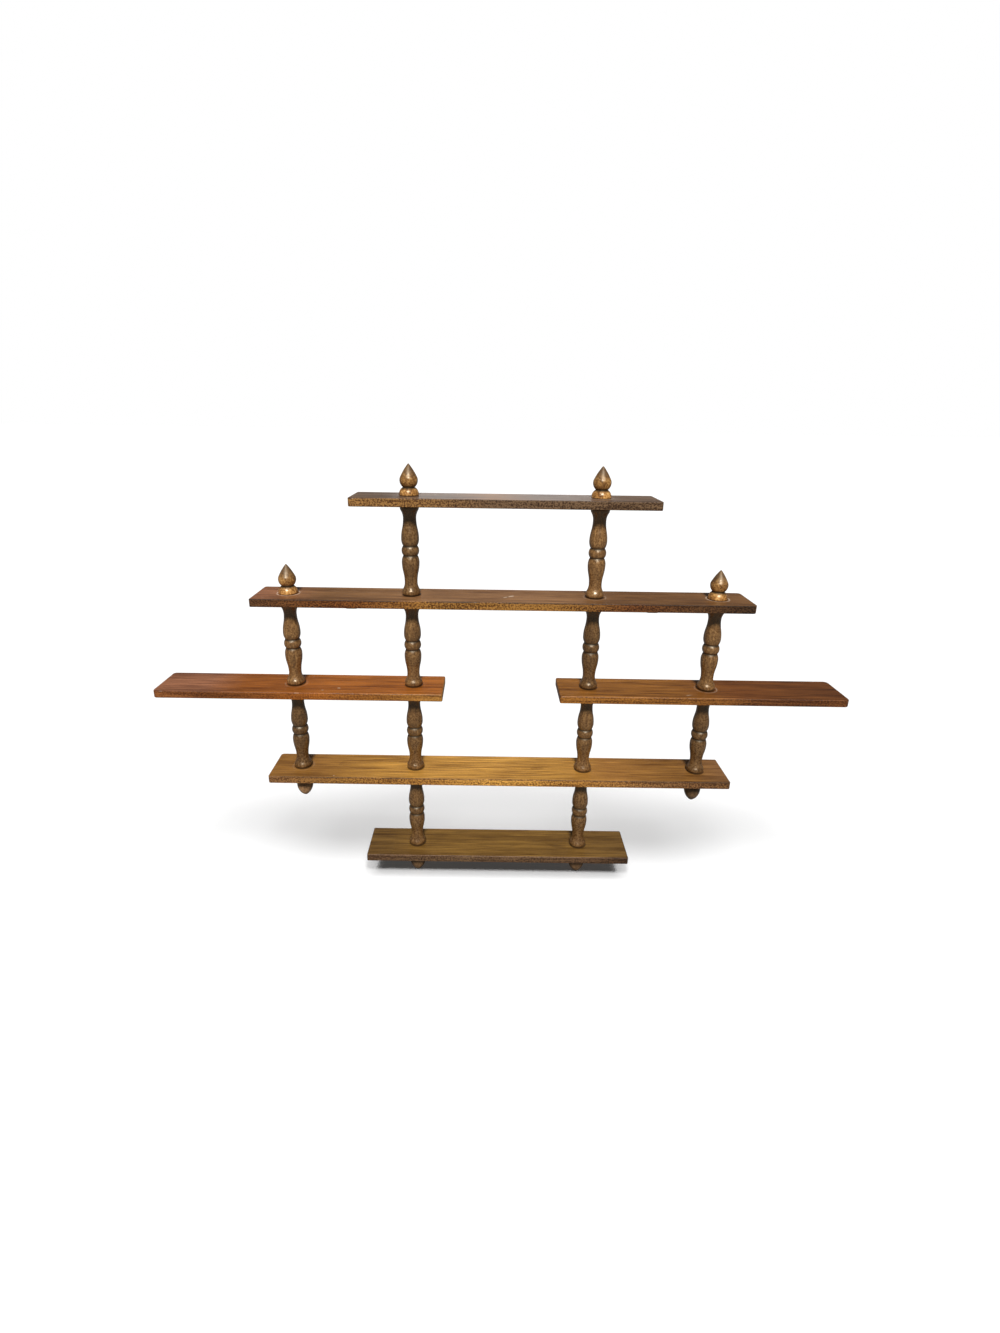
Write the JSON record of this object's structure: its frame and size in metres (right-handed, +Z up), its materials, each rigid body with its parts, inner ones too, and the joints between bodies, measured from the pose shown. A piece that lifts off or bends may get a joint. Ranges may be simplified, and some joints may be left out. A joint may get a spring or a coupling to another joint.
{
  "type": "wall curio shelf",
  "caption": "Wall curio shelf: thin boards stepped in a diamond, held apart by turned spindles, with pointed finials above, rounded drops below and keyhole hangers behind.",
  "frame": {"origin": "on the wall plane, midway between the entry holes of the two keyhole hangers", "axes": "+X to the right seen from the front, +Y into the wall, +Z up; the front edges of the boards face -Y"},
  "size_m": [0.9144, 0.0635, 0.5891],
  "materials": {
    "shelf_board": "worn satin lacquer over brown stain",
    "spindle_wood": "satin lacquer over dark brown stain",
    "finial_wood": "glossy lacquer over brown stain",
    "screw_steel": "zinc plated",
    "hanger_steel": "dull plated sheet"
  },
  "bodies": {
    "frame": {"shelf_top": "shelf_board", "shelf_upper": "shelf_board", "shelf_middle_left": "shelf_board", "shelf_middle_right": "shelf_board", "shelf_lower": "shelf_board", "shelf_bottom": "shelf_board", "spindle_1_inner_left": "spindle_wood", "spindle_1_inner_right": "spindle_wood", "spindle_2_outer_left": "spindle_wood", "spindle_2_inner_left": "spindle_wood", "spindle_2_inner_right": "spindle_wood", "spindle_2_outer_right": "spindle_wood", "spindle_3_outer_left": "spindle_wood", "spindle_3_inner_left": "spindle_wood", "spindle_3_inner_right": "spindle_wood", "spindle_3_outer_right": "spindle_wood", "spindle_4_inner_left": "spindle_wood", "spindle_4_inner_right": "spindle_wood", "hanger_left": "hanger_steel", "hanger_right": "hanger_steel", "column_screws": "screw_steel", "hanger_screws": "screw_steel"},
    "finial_inner_left_screw": {"finial_screw_inner_left": "screw_steel"},
    "finial_inner_left": {"finial_inner_left": "finial_wood"},
    "finial_inner_right_screw": {"finial_screw_inner_right": "screw_steel"},
    "finial_inner_right": {"finial_inner_right": "finial_wood"},
    "finial_outer_left_screw": {"finial_screw_outer_left": "screw_steel"},
    "finial_outer_left": {"finial_outer_left": "finial_wood"},
    "finial_outer_right_screw": {"finial_screw_outer_right": "screw_steel"},
    "finial_outer_right": {"finial_outer_right": "finial_wood"},
    "drop_inner_left_screw": {"drop_screw_inner_left": "screw_steel"},
    "drop_inner_left": {"drop_inner_left": "finial_wood"},
    "drop_inner_right_screw": {"drop_screw_inner_right": "screw_steel"},
    "drop_inner_right": {"drop_inner_right": "finial_wood"},
    "drop_outer_left_screw": {"drop_screw_outer_left": "screw_steel"},
    "drop_outer_left": {"drop_outer_left": "finial_wood"},
    "drop_outer_right_screw": {"drop_screw_outer_right": "screw_steel"},
    "drop_outer_right": {"drop_outer_right": "finial_wood"}
  },
  "joints": [
    {"name": "finial_inner_left_travel", "type": "slide", "parent": "frame", "child": "finial_inner_left_screw", "axis": [0, 0, 1], "range_m": [0, 0.01525]},
    {"name": "finial_inner_left_turn", "type": "hinge", "parent": "finial_inner_left_screw", "child": "finial_inner_left", "pos_m": [-0.118, -0.03175, 0.1485], "axis": [0, 0, 1], "range_deg": [0, 2160]},
    {"name": "finial_inner_right_travel", "type": "slide", "parent": "frame", "child": "finial_inner_right_screw", "axis": [0, 0, 1], "range_m": [0, 0.01525]},
    {"name": "finial_inner_right_turn", "type": "hinge", "parent": "finial_inner_right_screw", "child": "finial_inner_right", "pos_m": [0.118, -0.03175, 0.1485], "axis": [0, 0, 1], "range_deg": [0, 2160]},
    {"name": "finial_outer_left_travel", "type": "slide", "parent": "frame", "child": "finial_outer_left_screw", "axis": [0, 0, 1], "range_m": [0, 0.01525]},
    {"name": "finial_outer_left_turn", "type": "hinge", "parent": "finial_outer_left_screw", "child": "finial_outer_left", "pos_m": [-0.277, -0.03175, 0.0225], "axis": [0, 0, 1], "range_deg": [0, 2160]},
    {"name": "finial_outer_right_travel", "type": "slide", "parent": "frame", "child": "finial_outer_right_screw", "axis": [0, 0, 1], "range_m": [0, 0.01525]},
    {"name": "finial_outer_right_turn", "type": "hinge", "parent": "finial_outer_right_screw", "child": "finial_outer_right", "pos_m": [0.277, -0.03175, 0.0225], "axis": [0, 0, 1], "range_deg": [0, 2160]},
    {"name": "drop_inner_left_travel", "type": "slide", "parent": "frame", "child": "drop_inner_left_screw", "axis": [0, 0, -1], "range_m": [0, 0.01525]},
    {"name": "drop_inner_left_turn", "type": "hinge", "parent": "drop_inner_left_screw", "child": "drop_inner_left", "pos_m": [-0.118, -0.03175, -0.366], "axis": [0, 0, -1], "range_deg": [0, 2160]},
    {"name": "drop_inner_right_travel", "type": "slide", "parent": "frame", "child": "drop_inner_right_screw", "axis": [0, 0, -1], "range_m": [0, 0.01525]},
    {"name": "drop_inner_right_turn", "type": "hinge", "parent": "drop_inner_right_screw", "child": "drop_inner_right", "pos_m": [0.118, -0.03175, -0.366], "axis": [0, 0, -1], "range_deg": [0, 2160]},
    {"name": "drop_outer_left_travel", "type": "slide", "parent": "frame", "child": "drop_outer_left_screw", "axis": [0, 0, -1], "range_m": [0, 0.01525]},
    {"name": "drop_outer_left_turn", "type": "hinge", "parent": "drop_outer_left_screw", "child": "drop_outer_left", "pos_m": [-0.277, -0.03175, -0.24], "axis": [0, 0, -1], "range_deg": [0, 2160]},
    {"name": "drop_outer_right_travel", "type": "slide", "parent": "frame", "child": "drop_outer_right_screw", "axis": [0, 0, -1], "range_m": [0, 0.01525]},
    {"name": "drop_outer_right_turn", "type": "hinge", "parent": "drop_outer_right_screw", "child": "drop_outer_right", "pos_m": [0.277, -0.03175, -0.24], "axis": [0, 0, -1], "range_deg": [0, 2160]}
  ],
  "couplings": [
    {"joint": "finial_inner_left_travel", "follows": "finial_inner_left_turn", "m_per_rad": 0.00040425},
    {"joint": "finial_inner_right_travel", "follows": "finial_inner_right_turn", "m_per_rad": 0.00040425},
    {"joint": "finial_outer_left_travel", "follows": "finial_outer_left_turn", "m_per_rad": 0.00040425},
    {"joint": "finial_outer_right_travel", "follows": "finial_outer_right_turn", "m_per_rad": 0.00040425},
    {"joint": "drop_inner_left_travel", "follows": "drop_inner_left_turn", "m_per_rad": 0.00040425},
    {"joint": "drop_inner_right_travel", "follows": "drop_inner_right_turn", "m_per_rad": 0.00040425},
    {"joint": "drop_outer_left_travel", "follows": "drop_outer_left_turn", "m_per_rad": 0.00040425},
    {"joint": "drop_outer_right_travel", "follows": "drop_outer_right_turn", "m_per_rad": 0.00040425}
  ]
}
